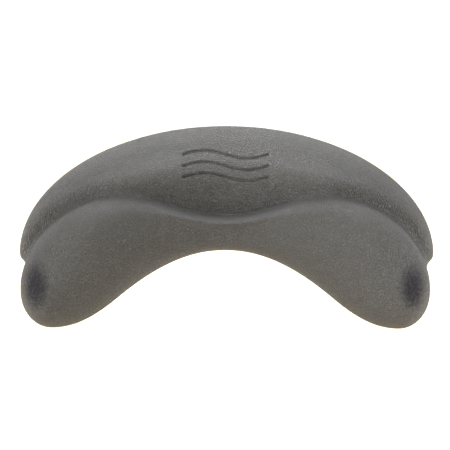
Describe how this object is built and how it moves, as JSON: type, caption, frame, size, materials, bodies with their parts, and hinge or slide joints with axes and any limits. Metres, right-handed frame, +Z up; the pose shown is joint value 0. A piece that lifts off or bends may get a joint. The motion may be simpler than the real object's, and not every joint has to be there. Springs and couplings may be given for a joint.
{
  "type": "headrest pillow",
  "caption": "Soft moulded headrest pillow: a raised collar over a low bridge and two lobes that wrap round the neck, with a flat back held to a seat shell by barbed pegs.",
  "frame": {"origin": "point on the flat back face, midway between the two lower pegs", "axes": "+X to the right and +Z up as seen from the seat, +Y out of the flat back along the pegs, so the soft front faces -Y"},
  "size_m": [0.33, 0.102, 0.1567],
  "materials": {
    "grained_skin": "satin, fine leather grain moulded into a soft skin",
    "smooth_skin": "matt, smooth moulded skin",
    "foam": "matt, fine-celled foam",
    "plastic": "satin, moulded",
    "steel": "bright stainless steel"
  },
  "bodies": {
    "root": {"front_skin": "grained_skin", "back_skin": "smooth_skin", "foam_core": "foam", "stiffener_plate": "plastic", "peg_left": "plastic", "peg_centre": "plastic", "peg_right": "plastic", "peg_washer_left": "steel", "peg_washer_centre": "steel", "peg_washer_right": "steel", "peg_screw_left": "steel", "peg_screw_centre": "steel", "peg_screw_right": "steel"}
  },
  "joints": []
}
